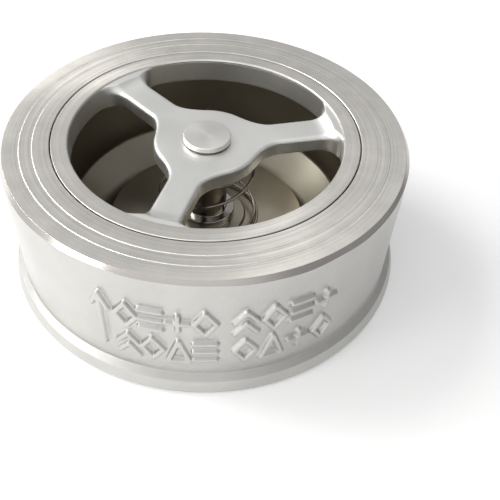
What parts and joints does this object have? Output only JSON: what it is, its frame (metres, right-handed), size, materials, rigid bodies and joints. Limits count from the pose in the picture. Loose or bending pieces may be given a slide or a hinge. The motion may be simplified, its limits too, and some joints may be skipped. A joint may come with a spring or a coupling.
{
  "type": "wafer check valve",
  "caption": "Short round wafer lift check valve: a sprung disc on a guided stem closes a flat seat under a three-arm guide spider.",
  "frame": {"origin": "centre of the inlet gasket face", "axes": "+Z along the flow, from the inlet face to the outlet face with the spider; -Y towards the raised flow arrow's side"},
  "size_m": [0.088, 0.088, 0.0315],
  "materials": {
    "cast_body": "bead-blasted stainless casting with turned faces",
    "cast_spider": "bead-blasted stainless casting with a turned rim",
    "polished_steel": "polished stainless steel",
    "fastener_steel": "bright stainless fasteners",
    "spring_wire": "bright drawn spring wire"
  },
  "bodies": {
    "housing": {"valve_body": "cast_body", "guide_spider": "cast_spider", "spider_lock_ring": "spring_wire"},
    "spring_carrier": {"spring": "spring_wire"},
    "disc_assembly": {"stem": "polished_steel", "disc": "polished_steel", "disc_washer": "fastener_steel", "lock_washer": "fastener_steel", "disc_nut": "fastener_steel"}
  },
  "joints": [
    {"name": "disc_lift", "type": "slide", "parent": "housing", "child": "spring_carrier", "axis": [0, 0, 1], "range_m": [0, 0.0125], "stiffness_N_per_m": 250, "springref_m": -0.012, "deforming": ["spring"]},
    {"name": "disc_spin", "type": "hinge", "parent": "spring_carrier", "child": "disc_assembly", "pos_m": [0, 0, 0.012], "axis": [0, 0, 1], "continuous": true}
  ]
}
